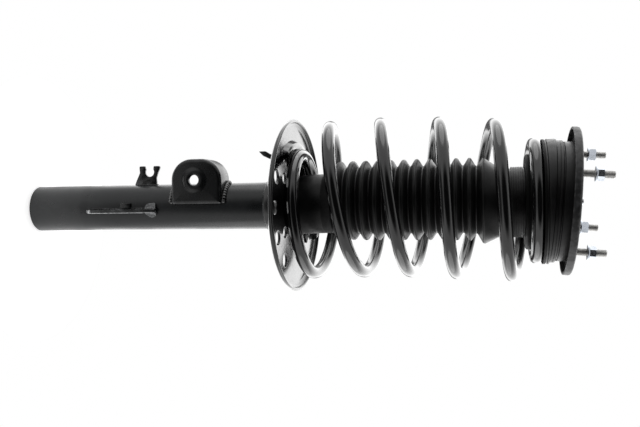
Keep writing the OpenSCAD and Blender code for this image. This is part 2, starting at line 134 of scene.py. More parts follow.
def divided(outline, longest):
    """The closed outline with no side longer than a length."""
    finer = []
    for i, point in enumerate(outline):
        a, b = Vector(point), Vector(outline[(i + 1) % len(outline)])
        count = max(1, math.ceil((b - a).length / longest))
        finer += [tuple(a.lerp(b, k / count)) for k in range(count)]
    return finer


def around(r, turn, z):
    """The point at a radius, a turn in degrees and a height."""
    return Vector((r * math.sin(math.radians(turn)), -r * math.cos(math.radians(turn)), z))


def revolve(outline, columns=128, shape=None):
    """A closed outline of (radius, height) turned about Z. shape(r, z, turn) may move each point."""
    points, faces = [], []
    rows = len(outline)
    for c in range(columns):
        turn = 360 * c / columns
        for r, z in outline:
            points.append(around(*(shape(r, z, turn) if shape else (r, turn, z))))
    for c in range(columns):
        a, b = c * rows, (c + 1) % columns * rows
        for i in range(rows):
            j = (i + 1) % rows
            faces.append((a + i, b + i, b + j, a + j))
    return points, faces


def sweep(path, radius, sides):
    """A tube along path, closed at both ends, whose size at point i is radius(i)."""
    points, faces = [], []
    for i, centre in enumerate(path):
        along = (path[min(i + 1, len(path) - 1)] - path[max(i - 1, 0)]).normalized()
        reference = Vector((0, 0, 1)) if abs(along.z) < 0.9 else Vector((0, -1, 0))
        out = reference.cross(along).normalized()
        up = along.cross(out)
        for k in range(sides):
            a = math.tau * k / sides
            points.append(centre + radius(i) * (out * math.cos(a) + up * math.sin(a)))
    for i in range(len(path) - 1):
        for k in range(sides):
            n = (k + 1) % sides
            a, b = i * sides, (i + 1) * sides
            faces.append((a + k, b + k, b + n, a + n))
    faces.append(tuple(range(sides)))
    faces.append(tuple(range(len(points) - 1, len(points) - 1 - sides, -1)))
    return points, faces


def slab(outline, thickness):
    """A plate in the XZ plane, from -thickness / 2 to thickness / 2 along Y."""
    count = len(outline)
    points = [Vector((x, y, z)) for y in (-thickness / 2, thickness / 2) for x, z in outline]
    faces = [tuple(range(count)), tuple(range(2 * count - 1, count - 1, -1))]
    for i in range(count):
        j = (i + 1) % count
        faces.append((i, j, count + j, count + i))
    return points, faces


def moved(shape, matrix):
    points, faces = shape
    return [matrix @ Vector(p) for p in points], faces


def drill(radius, low, high, flare):
    """A cutter for a hole through a sheet between two heights, whose rims come out rounded."""
    arc = [(flare * (1 - math.sin(a)), flare * (1 - math.cos(a))) for a in
           (math.radians(15 * k) for k in range(7))]
    side = [(radius + out, low + up) for out, up in arc]
    side += [(radius + out, high - up) for out, up in reversed(arc)]
    wide = radius + flare
    return revolve([(0, low - 3), (wide, low - 3)] + side + [(wide, high + 3), (0, high + 3)], 40)


def bare(name, shapes):
    """A mesh object made of closed shapes, in metres, with outward normals."""
    work = bmesh.new()
    for points, faces in shapes:
        made = [work.verts.new(Vector(p) * MM) for p in points]
        for face in faces:
            work.faces.new([made[i] for i in face])
    bmesh.ops.remove_doubles(work, verts=work.verts, dist=2e-6)
    bmesh.ops.dissolve_degenerate(work, edges=work.edges, dist=1e-7)
    bmesh.ops.recalc_face_normals(work, faces=work.faces)
    mesh = bpy.data.meshes.new(name)
    work.to_mesh(mesh)
    work.free()
    obj = bpy.data.objects.new(name, mesh)
    bpy.context.scene.collection.objects.link(obj)
    return obj


def settle(obj):
    """Applies the object's modifiers to its mesh."""
    bpy.context.view_layer.update()
    graph = bpy.context.evaluated_depsgraph_get()
    mesh = bpy.data.meshes.new_from_object(obj.evaluated_get(graph))
    obj.modifiers.clear()
    obj.data = mesh


def cut(obj, shapes):
    """Takes closed shapes away from an object."""
    tool = bare("cutter", shapes)
    step = obj.modifiers.new("cut", "BOOLEAN")
    step.operation, step.solver, step.object = "DIFFERENCE", "EXACT", tool
    step.use_self = True
    settle(obj)
    bpy.data.objects.remove(tool)


def soften(obj, width):
    """Rounds the object's sharp edges."""
    step = obj.modifiers.new("soften", "BEVEL")
    step.width, step.segments, step.limit_method = width * MM, 3, "ANGLE"
    step.angle_limit = math.radians(35)
    settle(obj)


def finish_piece(obj, body, slot, *nodes, sharp=40):
    """Shades the piece, gives it its slot's material and puts it on a body in place of its nodes."""
    obj.data.materials.clear()
    obj.data.materials.append(MATERIALS[slot])
    obj.data.shade_smooth()
    obj.data.set_sharp_from_angle(angle=math.radians(sharp))
    if nodes:
        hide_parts(*nodes)
    if body:
        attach(obj, body)
    return obj


# ---- materials ----

RANGE_SOCKETS = ("From Min", "From Max", "To Min", "To Max")


class Nodes:
    """A material under construction: a Principled shader and short calls for the nodes that feed it."""

    def __init__(self, name, color, roughness, metallic=0.0):
        self.material = bpy.data.materials.new(name)
        self.material.use_nodes = True
        self.tree = self.material.node_tree
        self.shader = self.tree.nodes["Principled BSDF"]
        self.place = self.tree.nodes.new("ShaderNodeTexCoord").outputs["Object"]
        self.set("Base Color", (*color, 1))
        self.set("Roughness", roughness)
        self.set("Metallic", metallic)
        self.bumped = None

    def set(self, socket, value):
        self.shader.inputs[socket].default_value = value

    def noise(self, scale, detail=4.0, stretch=(1, 1, 1), rough=0.5):
        mapping = self.tree.nodes.new("ShaderNodeMapping")
        mapping.inputs["Scale"].default_value = stretch
        node = self.tree.nodes.new("ShaderNodeTexNoise")
        node.inputs["Scale"].default_value = scale
        node.inputs["Detail"].default_value = detail
        node.inputs["Roughness"].default_value = rough
        self.tree.links.new(self.place, mapping.inputs["Vector"])
        self.tree.links.new(mapping.outputs["Vector"], node.inputs["Vector"])
        return node.outputs["Fac"]

    def cells(self, scale):
        node = self.tree.nodes.new("ShaderNodeTexVoronoi")
        node.inputs["Scale"].default_value = scale
        self.tree.links.new(self.place, node.inputs["Vector"])
        return node.outputs["Distance"]

    def remap(self, value, low, high, to_low, to_high):
        node = self.tree.nodes.new("ShaderNodeMapRange")
        node.interpolation_type = "SMOOTHSTEP"
        for socket, number in zip(RANGE_SOCKETS, (low, high, to_low, to_high)):
            node.inputs[socket].default_value = number
        self.tree.links.new(value, node.inputs["Value"])
        return node.outputs["Result"]

    def worn_edges(self, radius):
        """1 at the shape's outer edges and 0 on its faces."""
        node = self.tree.nodes.new("ShaderNodeNewGeometry")
        return self.remap(node.outputs["Pointiness"], 0.5, 0.5 + radius, 0.0, 1.0)

    def multiply(self, a, b):
        node = self.tree.nodes.new("ShaderNodeMath")
        node.operation = "MULTIPLY"
        self.tree.links.new(a, node.inputs[0])
        self.tree.links.new(b, node.inputs[1])
        return node.outputs[0]

    def tint(self, factor, color):
        """Mixes a colour over the base colour where factor is high."""
        node = self.tree.nodes.new("ShaderNodeMix")
        node.data_type = "RGBA"
        base = self.shader.inputs["Base Color"]
        if base.is_linked:
            self.tree.links.new(base.links[0].from_socket, node.inputs["A"])
        else:
            node.inputs["A"].default_value = base.default_value
        node.inputs["B"].default_value = (*color, 1)
        self.tree.links.new(factor, node.inputs["Factor"])
        self.tree.links.new(node.outputs["Result"], base)

    def roughen(self, value, low, high):
        self.tree.links.new(self.remap(value, 0.3, 0.7, low, high), self.shader.inputs["Roughness"])

    def bump(self, height, depth):
        """Raises the surface by depth millimetres where height is 1."""
        node = self.tree.nodes.new("ShaderNodeBump")
        node.inputs["Strength"].default_value = 1.0
        node.inputs["Distance"].default_value = depth * MM
        self.tree.links.new(height, node.inputs["Height"])
        if self.bumped:
            self.tree.links.new(self.bumped, node.inputs["Normal"])
        self.bumped = node.outputs["Normal"]
        self.tree.links.new(self.bumped, self.shader.inputs["Normal"])


def satin_paint(name, color, dusty, roughness):
    """Sprayed chassis paint: faint orange peel, cloudy sheen and light rubbing marks."""
    m = Nodes(name, color, roughness)
    cloud = m.noise(14, 5)
    m.tint(m.remap(cloud, 0.35, 0.75, 0.0, 0.8), dusty)
    m.roughen(m.noise(40, 6), roughness - 0.05, roughness + 0.07)
    marks = m.multiply(m.worn_edges(0.08), m.remap(m.noise(120, 4), 0.45, 0.65, 0.0, 0.5))
    m.tint(marks, (0.16, 0.165, 0.17))
    m.bump(m.noise(420, 3), 0.02)
    m.bump(m.noise(2200, 2), 0.006)
    return m.material


def wear_and_highlight_paint(name, color, bare_and_highlight, rim):
    """Thin paint rubbed down to pale metal, most of all on its edges; on the fin's edge strip this pale
    metal is a painted highlight.
    """
    m = Nodes(name, color, 0.3, metallic=0.9)
    m.tint(m.remap(m.noise(260, 5), 0.35, 0.65, 0.2, 0.9), bare_and_highlight)
    edge_wear_and_highlight = m.multiply(m.worn_edges(0.05), m.remap(m.noise(600, 3), 0.35, 0.6, 0.4, 1.0))
    m.tint(edge_wear_and_highlight, rim)
    m.roughen(m.noise(150, 5), 0.26, 0.4)
    m.bump(m.noise(500, 3), 0.03)
    return m.material


def enamel(name, color, roughness):
    """Gloss powder coat over steel: deep black, slow orange peel, a few specks of dust."""
    m = Nodes(name, color, roughness)
    m.set("Coat Weight", 0.6)
    m.set("Coat Roughness", 0.12)
    m.roughen(m.noise(60, 5), roughness - 0.04, roughness + 0.06)
    m.tint(m.remap(m.noise(900, 2), 0.74, 0.8, 0.0, 0.35), (0.12, 0.12, 0.12))
    m.bump(m.noise(260, 3), 0.03)
    return m.material


def rubber(name, color, bloom, roughness, grain, sheen=0.3):
    """Moulded rubber: a soft bloom in patches and a fine grain."""
    m = Nodes(name, color, roughness)
    m.set("Specular IOR Level", sheen)
    m.tint(m.remap(m.noise(22, 6), 0.42, 0.72, 0.0, 0.7), bloom)
    m.roughen(m.noise(75, 5), roughness - 0.06, roughness + 0.08)
    m.bump(m.noise(grain, 3), 0.03)
    m.bump(m.noise(90, 2), 0.05)
    return m.material


def moulding(name, color, pale, roughness):
    """Filled plastic: a spark-eroded grain with slight flow marks."""
    m = Nodes(name, color, roughness)
    m.set("Specular IOR Level", 0.3)
    m.tint(m.remap(m.noise(30, 5, (1, 1, 3)), 0.4, 0.7, 0.0, 0.6), pale)
    m.roughen(m.noise(160, 4), roughness - 0.05, roughness + 0.06)
    m.bump(m.cells(1500), 0.03)
    m.bump(m.noise(300, 3), 0.02)
    return m.material


def textured_coat(name, color, pale, roughness):
    """Coarse dipped coat on the top plate: pebbled, with rubbed high spots."""
    m = Nodes(name, color, roughness)
    grit = m.noise(1100, 4, rough=0.65)
    m.tint(m.remap(grit, 0.52, 0.7, 0.0, 0.7), pale)
    spots = m.multiply(m.worn_edges(0.06), m.remap(m.noise(200, 4), 0.4, 0.6, 0.0, 0.8))
    m.tint(spots, (0.2, 0.2, 0.205))
    m.roughen(m.noise(90, 5), roughness - 0.05, roughness + 0.1)
    m.bump(grit, 0.09)
    m.bump(m.noise(260, 3), 0.05)
    return m.material


def metal(name, color, dark, roughness, lines=(1, 1, 1)):
    """Bare or plated metal with fine machining lines and a little tarnish."""
    m = Nodes(name, color, roughness, metallic=1.0)
    m.tint(m.remap(m.noise(120, 5), 0.42, 0.75, 0.0, 0.6), dark)
    m.roughen(m.noise(800, 4, lines), roughness - 0.06, roughness + 0.08)
    m.bump(m.noise(2500, 3, lines), 0.006)
    return m.material


def foam(name, color, dark):
    """Microcellular foam: closed pores over an uneven colour."""
    m = Nodes(name, color, 0.8)
    m.tint(m.remap(m.noise(60, 5), 0.35, 0.7, 0.0, 0.7), dark)
    m.bump(m.cells(900), 0.15)
    return m.material


MATERIALS = {
    "tube_paint": satin_paint("tube_paint", (0.0035, 0.0048, 0.0058), (0.006, 0.0075, 0.009), 0.30),
    "bracket_paint": satin_paint("bracket_paint", (0.0025, 0.003, 0.0035), (0.005, 0.0055, 0.006), 0.24),
    # the pale strip and ramp on the fin's outer edge: a painted highlight
    "wear_and_highlight_paint": wear_and_highlight_paint("wear_and_highlight_paint", (0.03, 0.031, 0.033), (0.11, 0.112, 0.116),
                                 (0.8, 0.81, 0.82)),
    "scuffed_paint": wear_and_highlight_paint("scuffed_paint", (0.012, 0.0125, 0.013), (0.05, 0.052, 0.054),
                                  (0.26, 0.265, 0.27)),
    "seat_enamel": enamel("seat_enamel", (0.002, 0.002, 0.0022), 0.16),
    "spring_enamel": enamel("spring_enamel", (0.002, 0.002, 0.0022), 0.16),
    "boot_rubber": rubber("boot_rubber", (0.0022, 0.0022, 0.0023), (0.0042, 0.0042, 0.0043), 0.40, 1400),
    "pad_rubber": rubber("pad_rubber", (0.0015, 0.0015, 0.0016), (0.003, 0.003, 0.0031), 0.50, 900,
                         0.12),
    "seat_plastic": moulding("seat_plastic", (0.002, 0.002, 0.0021), (0.004, 0.004, 0.0041), 0.40),
    "mount_moulding": moulding("mount_moulding", (0.003, 0.003, 0.0032), (0.006, 0.006, 0.0064), 0.38),
    # near-black coat under the top plate's dish, inside its rim: painted shade
    "underside_painted_shade": rubber("underside_painted_shade", (0.001, 0.001, 0.0011), (0.002, 0.002, 0.0021), 0.70, 900,
                         0.06),
    "plate_coat": textured_coat("plate_coat", (0.006, 0.0062, 0.0066), (0.02, 0.0205, 0.021), 0.45),
    "zinc": metal("zinc", (0.60, 0.64, 0.70), (0.40, 0.43, 0.47), 0.28),
    "stud_steel": metal("stud_steel", (0.60, 0.595, 0.58), (0.36, 0.355, 0.34), 0.45),
    "bare_steel": metal("bare_steel", (0.50, 0.51, 0.53), (0.30, 0.30, 0.31), 0.30, (1, 1, 12)),
    "sintered_iron": metal("sintered_iron", (0.30, 0.30, 0.31), (0.16, 0.16, 0.17), 0.48),
    "bush_bronze": metal("bush_bronze", (0.55, 0.40, 0.20), (0.35, 0.24, 0.12), 0.35, (1, 1, 12)),
    "nylon": moulding("nylon", (0.55, 0.51, 0.40), (0.62, 0.59, 0.48), 0.50),
    "bump_foam": foam("bump_foam", (0.48, 0.38, 0.14), (0.36, 0.27, 0.09)),
    "rod_chrome": metal("rod_chrome", (0.80, 0.82, 0.84), (0.66, 0.68, 0.70), 0.12, (1, 1, 20)),
}


# ---- damper tube and its fittings ----

def ripple_bead(path, radius, seed):
    """A weld bead along a path: overlapping ripples on a slightly uneven bead."""
    def size(i):
        wave = 0.10 * math.cos(i * 1.25) + 0.16 * noise.noise(Vector((i * 0.21, seed, 0)))
        end = min(i, len(path) - 1 - i)
        return radius * (1 + wave) * math.sqrt(min(1, (end + 0.35) / 3))
    return sweep(path, size, 10)


def on_tube(turn_a, turn_b, z_a, z_b, count, lift=0.0):
    """Points on the tube's surface between two turns and two heights."""
    return [around(TUBE_R + lift, turn_a + (turn_b - turn_a) * k / (count - 1),
                   z_a + (z_b - z_a) * k / (count - 1)) for k in range(count)]


TUBE_CORE = revolve([(0, -5), (TUBE_R - 0.05, -5), (TUBE_R - 0.05, TUBE_TOP), (0, TUBE_TOP)], 160)


def outer_tube():
    bore = TUBE_R - 2.2
    outline = rounded([
        (CLAMP_R, 0, 0.5), (CLAMP_R, 66, 20), (TUBE_R, 76, 20), (TUBE_R, TUBE_TOP, 0.6),
        (bore, TUBE_TOP, 0.4), (bore, 0, 0.6)
    ])
    tube = bare("tube_shell", [revolve(outline, 192)])
    finish_piece(tube, "strut_body", "tube_paint", "outer_tube")


def locating_blade():
    """A fin with a pale strip along one edge, a painted highlight, two bent ears at its upper end and a
    small square tab.
    """
    blade_turn = 7.8
    turn = Matrix.Rotation(math.radians(blade_turn), 4, "Z")
    low, high = span("locating_blade")

    def side_on(shape, across):
        """Stands a slab up on the tube, with its face looking sideways."""
        spot = Matrix.Translation((across, 0, 0)) @ Matrix.Rotation(math.radians(-90), 4, "Z")
        return moved(shape, turn @ spot)

    outline = rounded([
        (24, low), (TUBE_R + 0.6, low, 0.4), (34.5, low + 7, 4), (34.5, high, 1.5), (24, high)
    ])
    fin = bare("knuckle_blade", [side_on(slab(outline, 3.0), -0.5)])
    soften(fin, 0.4)
    cut(fin, [TUBE_CORE])
    finish_piece(fin, "strut_body", "bracket_paint", "locating_blade")

    # A pale metal strip and ramp along the fin's outer edge: a painted highlight that stands in for the
    # light the edge catches.
    strip = side_on(slab(outline, 1.0), 1.5)
    ramp = slab(rounded([
        (27, low - 0.1), (34.6, low + 6.6, 0.6), (34.6, low + 9.5), (33, low + 9.5), (26, low + 3)
    ]), 3.2)
    painted_highlight_edge = bare("blade_edge", [strip, side_on(ramp, -0.3)])
    soften(painted_highlight_edge, 0.3)
    cut(painted_highlight_edge, [TUBE_CORE])
    finish_piece(painted_highlight_edge, "strut_body", "bracket_paint", "locating_blade")
    painted_highlight_edge.data.materials[0] = MATERIALS["wear_and_highlight_paint"]

    shapes = []
    for side, corners in (
        (-1, [(-8.2, high - 10.5, 2), (-8.9, high - 1, 1.5)]),
        (1, [(9, high - 6.5, 3), (5.6, high, 2)]),
    ):
        root = [(side * 1.6, high, 0.3), (side * 1.6, high - 13.5, 0.5), (side * 3.4, high - 13, 1.5)]
        ear = slab(rounded(root + corners), 4)
        tip = Matrix.Translation((0, -29.4, 0)) @ Matrix.Rotation(math.radians(side * 24), 4, "Z")
        shapes.append(moved(ear, turn @ tip))
    tab = slab(rounded([(-9, 119, 0.8), (0, 119), (0, 131), (-9, 131, 0.8)]), 2.6)
    dark_tab = bare("blade_tab", [moved(tab, turn @ Matrix.Translation((0, -27.6, 0)))])
    soften(dark_tab, 0.4)
    cut(dark_tab, [TUBE_CORE])
    finish_piece(dark_tab, "strut_body", "bracket_paint", "locating_blade")
    ears = bare("blade_ears", shapes)
    soften(ears, 0.5)
    cut(ears, [TUBE_CORE])
    finish_piece(ears, "strut_body", "bracket_paint", "locating_blade")
    ears.data.materials[0] = MATERIALS["scuffed_paint"]

    beads = []
    for side, seed in ((-1, 3), (1, 8)):
        spot = blade_turn + side * 5.3
        beads.append(ripple_bead(on_tube(spot, spot, low + 3, high - 16, 110, 0.1), 0.7, seed))
    finish_piece(bare("blade_welds", beads), "strut_body", "bracket_paint")


def hose_clip():
    low, high = span("hose_clip")
    middle, centre, hole, mouth = 144.0, -42.0, 5.6, 4.7
    first = 180 - math.degrees(math.asin(mouth / hole))
    socket = [(centre + hole * math.cos(a), middle + hole * math.sin(a)) for a in
              (math.radians(-first + first * k / 9) for k in range(19))]
    outline = rounded([(-25, low), (-27.6, low, 0.8), (-32.7, low + 2.1, 4), (-41, low + 6, 2),
                       (-49, low + 5.4, 1.6), (-49, middle - mouth, 1.2)])
    outline += socket
    outline += rounded([(-49, middle + mouth, 1.2), (-49, high, 1.6), (-46, high - 0.4, 2),
                        (-41, high - 2.8, 3), (-34.7, high - 4.8, 4), (-27.5, high - 4.2, 0.8),
                        (-25, high - 4.2)])
    clip = bare("hose_fork", [slab(outline, 3)])
    soften(clip, 0.5)
    cut(clip, [TUBE_CORE])
    finish_piece(clip, "strut_body", "bracket_paint", "hose_clip")
    beads = []
    for side, seed in ((-1, 5), (1, 6)):
        path = [Vector((-TUBE_R + 0.1, side * 1.9, z)) for z in
                (low + 1.5 + k * 0.5 for k in range(56))]
        beads.append(ripple_bead(path, 1.0, seed))
    finish_piece(bare("clip_welds", beads), "strut_body", "bracket_paint")


LINK_HOLE = Vector((-30.2, 0, 211.3))
HOOD_LOW, HOOD_HIGH = 183.0, 243.0
HOOD_TOP, HOOD_FOOT = 54.5, 2.6
HOOD_CORNER = 24.0


def hood_distance(angle, inset):
    """How far the bracket's outline is from the link hole, in a direction of the XZ plane."""
    outline = rounded([
        (-HOOD_FOOT, HOOD_LOW, 2), (-HOOD_TOP, HOOD_LOW, HOOD_CORNER),
        (-HOOD_TOP, HOOD_HIGH, HOOD_CORNER), (-HOOD_FOOT, HOOD_HIGH, 2)
    ], 6)
    way = Vector((math.cos(angle), math.sin(angle)))
    best = None
    for i, point in enumerate(outline):
        a = Vector(point) - Vector((LINK_HOLE.x, LINK_HOLE.z))
        b = Vector(outline[(i + 1) % len(outline)]) - Vector((LINK_HOLE.x, LINK_HOLE.z))
        side = b - a
        across = way.x * side.y - way.y * side.x
        if abs(across) < 1e-9:
            continue
        far = (a.x * side.y - a.y * side.x) / across
        share = (a.x * way.y - a.y * way.x) / across
        if far > 0 and -1e-9 <= share <= 1 + 1e-9:
            slant = abs(across) / side.length
            best = far - inset / max(slant, 0.5)
    return best


def link_bracket():
    """A pressed cup with a boss around the link hole, trimmed to the tube."""
    columns = 160
    front, wall, plate, bend = -32.0, 4.0, 3.5, 4.5
    rings = [("hood", 0.0, -1.0), ("hood", 0.0, -12.0)]
    for a in range(0, 91, 15):
        reach_in = bend * (1 - math.cos(math.radians(a)))
        rings.append(("hood", reach_in, front + bend - bend * math.sin(math.radians(a))))
    rings += [("ring", 15.5, front), ("ring", 14.4, front - 0.1), ("ring", 13.2, front - 0.5),
              ("ring", 11.2, front - 1.35), ("ring", 10.2, front - 1.6), ("ring", 8.6, front - 1.6),
              ("ring", 6.5, front - 1.6), ("ring", 6.15, front - 1.45), ("ring", 6.0, front - 1.1)]
    rings += [("ring", 6.0, front + plate - 0.6), ("ring", 6.5, front + plate - 0.1),
              ("ring", 9.0, front + plate), ("ring", 15.0, front + plate)]
    for a in range(90, -1, -30):
        inner = bend - 1.5
        reach_in = wall + inner * (1 - math.cos(math.radians(a)))
        rings.append(("hood", reach_in, front + plate + inner - inner * math.sin(math.radians(a))))
    rings.append(("hood", wall, -1.0))
    edge = {inset: [hood_distance(math.tau * c / columns, inset) for c in range(columns)]
            for inset in sorted({r[1] for r in rings if r[0] == "hood"})}
    points, faces = [], []
    for c in range(columns):
        angle = math.tau * c / columns
        for kind, size, y in rings:
            r = edge[size][c] if kind == "hood" else size
            points.append(LINK_HOLE + Vector((r * math.cos(angle), y, r * math.sin(angle))))
    rows = len(rings)
    for c in range(columns):
        a, b = c * rows, (c + 1) % columns * rows
        for i in range(rows):
            j = (i + 1) % rows
            faces.append((a + i, b + i, b + j, a + j))
    bracket = bare("link_hood", [(points, faces)])
    cut(bracket, [TUBE_CORE])
    finish_piece(bracket, "strut_body", "bracket_paint", "link_bracket", sharp=30)

    beads = []
    for z, size, seed in ((HOOD_LOW - 1.8, 3.0, 1), (HOOD_HIGH + 1.4, 3.2, 2)):
        beads.append(ripple_bead(on_tube(-86, -7, z, z, 60, 0.4), size, seed))
    finish_piece(bare("bracket_welds", beads), "strut_body", "seat_enamel")


# ---- lower spring seat ----

RIB = (61.5, 65.5, 70.5, 74.5)
RIB_TURNS = (-151, -144, -56, -51)
DRAINS = [(72, 7.5, turn) for turn in (-25.5, 2, 29, 57.5, 122, 151, 178, 205)]
DRAINS += [(48, 6, turn) for turn in (-38.5, 38.5, 141.5)]


def pressed_rib(r, z, turn):
    """Raises the seat's floor into a rib over part of its circle."""
    turn = turn - 360 if turn > 180 else turn
    across = ease(RIB[0], RIB[1], r) * (1 - ease(RIB[2], RIB[3], r))
    along = ease(RIB_TURNS[0], RIB_TURNS[1], turn) * (1 - ease(RIB_TURNS[2], RIB_TURNS[3], turn))
    return r, turn, z + 5.6 * across * along


def lower_spring_seat():
    r = SEAT_R
    pan = rounded([
        (28, -SHEET), (r - 7, -SHEET, 7), (r, 0.5, 4), (r, 5.1, 1.4), (r - 3, 5.1, 1.2),
        (r - 3, 2, 2.5), (r - 6, 0, 4), (28, 0)
    ])
    seat = bare("spring_pan", [revolve(divided(pan, 1.6), 256, pressed_rib)])
    cut(seat, [moved(drill(size, -SHEET, 0, 0.8), Matrix.Translation(around(out, turn, 0)))
               for out, size, turn in DRAINS])
    seat.data.transform(Matrix.Translation((0, 0, SEAT_Z * MM))
                        @ Matrix.Rotation(math.radians(SEAT_LEAN), 4, "X"))

    def leaning(r, z, turn):
        rise = -r * math.cos(math.radians(turn)) * math.tan(math.radians(SEAT_LEAN))
        return r, turn, z + rise * ease(304, 316, z)

    bottom = span("lower_spring_seat")[0]
    neck = rounded([
        (TUBE_R, bottom), (29.7, bottom, 1.2), (29.7, SEAT_Z - SHEET, 4), (36, SEAT_Z - SHEET + 0.2),
        (36, SEAT_Z - 1), (29.7, SEAT_Z - 1, 0.5), (29.7, SEAT_Z + 2.4, 1.4), (TUBE_R, SEAT_Z + 2.4)
    ])
    collar = bare("pan_neck", [revolve(divided(neck, 4), 160, leaning)])
    seam = ripple_bead([around(TUBE_R + 0.5, 360 * k / 400, bottom - 0.2) for k in range(401)], 1.4, 9)
    welds = bare("seat_weld", [seam])
    finish_piece(seat, "strut_body", "seat_enamel", "lower_spring_seat")
    finish_piece(collar, "strut_body", "seat_enamel", "lower_spring_seat")
    finish_piece(welds, "strut_body", "tube_paint")


def line_tab():
    top = span("line_tab")[1]
    tang = bare("seat_tang", [slab(rounded([
        (-43.5, top, 0.4), (-50, top, 0.4), (-59.6, 293, 6), (-62.9, 287.6, 2.5),
        (-62.8, 279.8, 0.3), (-57.4, 285.1, 4), (-54.3, 291.8, 8)
    ]), 3.4)])
    soften(tang, 0.6)
    finish_piece(tang, "strut_body", "bracket_paint", "line_tab")


# ---- spring and boot ----

COIL_RISE = [
    (-0.62, 330.3), (-0.4, 330.8), (-0.25, 332.6), (0, 337.6), (0.25, 342.8), (0.5, 354.5),
    (0.75, 370), (1, 383.5), (4, 554.5), (4.35, 573.8), (4.6, 585), (4.75, 587.4), (5, 589), (5.4, 589.3)
]
COIL_RADIUS = [
    (-0.62, 55), (-0.25, 55.5), (0, 66), (0.25, 79.5), (0.5, 82), (1, 82), (4, 82), (4.25, 81),
    (4.5, 70), (4.62, 65.8), (4.75, 62.8), (5, 60.5), (5.4, 60.5)
]
BOW, BOW_SKEW, COIL_TILT = 7.4, 0.736, 0.07


def smooth(table, t):
    """A smooth curve through (place, value) points."""
    i = max(k for k in range(len(table) - 1) if table[k][0] <= t or k == 0)

    def slope(k):
        a, b = table[max(k - 1, 0)], table[min(k + 1, len(table) - 1)]
        return (b[1] - a[1]) / (b[0] - a[0])

    h = table[i + 1][0] - table[i][0]
    u = (t - table[i][0]) / h
    e = u * u * (3 - 2 * u)
    return (table[i][1] * (1 - e) + table[i + 1][1] * e + h * slope(i) * u * (1 - u) ** 2
            - h * slope(i + 1) * u * u * (1 - u))


def coil_point(t):
    """The wire's centre after t turns."""
    r, z = smooth(COIL_RADIUS, t), smooth(COIL_RISE, t)
    share = min(max((z - 330) / 260, 0), 1)
    spot = around(r, 360 * t, z)
    spot.z += COIL_TILT * math.sin(math.tau * share) * spot.x
    spot.z += math.tan(math.radians(SEAT_LEAN)) * (1 - ease(-0.25, 0.5, t)) * spot.y
    spot.x -= BOW * math.sin(math.pi * share ** BOW_SKEW)
    return spot


def coil_spring():
    start, end = COIL_RISE[0][0], COIL_RISE[-1][0]
    count = 600
    path = [coil_point(start + (end - start) * k / count) for k in range(count + 1)]
    step = (path[1] - path[0]).length
    tip = 1.2

    def size(i):
        """The wire's radius, with its cut ends rounded over the length of a tip."""
        short = max(tip - min(i, count - i) * step, 0)
        return WIRE_R - tip + math.sqrt(max(tip ** 2 - short ** 2, 0))

    wire = bare("spring_wire", [sweep(path, size, 28)])
    finish_piece(wire, None, "spring_enamel", "coil_spring")
    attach(wire, "strut_body")
    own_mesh(wire)


BOOT_BOW = 4.2


def dust_boot():
    """A blown boot: a plain skirt, folds that bow towards the link side, a cone and a plain neck."""
    low, high = span("dust_boot")
    first, pitch, folds = 376.0, 14.364, 12
    peak, valley, neck = 47.5, 36.0, 36.6
    wall = 2.0
    outer = [(33.6, low), (33.6, 358, 3), (valley, first - pitch / 2, 1.5)]
    for i in range(folds):
        z = first + i * pitch
        outer += [(peak, z, 3.4 - 0.1 * i), (valley, z + pitch / 2, 1.3)]
    outer[-1] = (neck, 553, 3)
    outer += [(neck, high)]
    inner = [(r - wall, z, *(max(f[0] - 0.4, 0.5),)) if f else (r - wall, z)
             for r, z, *f in reversed(outer)]

    def uneven(r, z, turn):
        wave = noise.noise(Vector((math.sin(math.radians(turn)), math.cos(math.radians(turn)), z / 18)))
        return r + 0.35 * wave * ease(368, 380, z) * (1 - ease(545, 558, z)), turn, z

    points, faces = revolve(rounded(outer + inner, 22), 192, uneven)
    for point in points:
        point.x -= BOOT_BOW * ease(345, 378, point.z) * (1 - ease(515, 552, point.z))
    boot = bare("dust_bellows", [(points, faces)])
    finish_piece(boot, None, "boot_rubber", "dust_boot", sharp=60)
    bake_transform(boot)


# ---- upper spring seat ----

def grooved(r, low, high, count, depth):
    """The outside of a band from low to high, with fine grooves around it."""
    step = (high - low) / count
    side = [(r, low, 0.4)]
    for i in range(1, count):
        z = low + i * step
        side += [(r, z - 0.35), (r - depth, z - 0.2), (r - depth, z + 0.2), (r, z + 0.35)]
    return side + [(r, high, 0.4)]


def boot_band():
    low, high = span("boot_band")
    side = grooved(38.3, low, high, 5, 0.5)
    band = bare("neck_band", [revolve(rounded([(36.65, low)] + side + [(36.65, high)]), 160)])
    finish_piece(band, "upper_seat", "seat_plastic", "boot_band")


def upper_insulator():
    low, high = span("upper_insulator")
    lip = reach("upper_insulator")
    outline = rounded([(34.65, low), (49.5, low, 1.2)] + grooved(51.5, low + 1.8, low + 6.2, 3, 0.5) + [
        (49, low + 7.2, 1), (49, high - 1.2, 1), (65.6, high - 1.2, 0.4), (66, high - 2.3, 0.3),
        (lip, high - 2.8, 0.4), (lip, high, 0.4), (46.55, high), (46.55, low + 3.55), (34.65, low + 3.55)
    ])
    pad = bare("spring_pad", [revolve(outline, 192)])
    finish_piece(pad, "upper_seat", "pad_rubber", "upper_insulator")


# ---- top mount ----

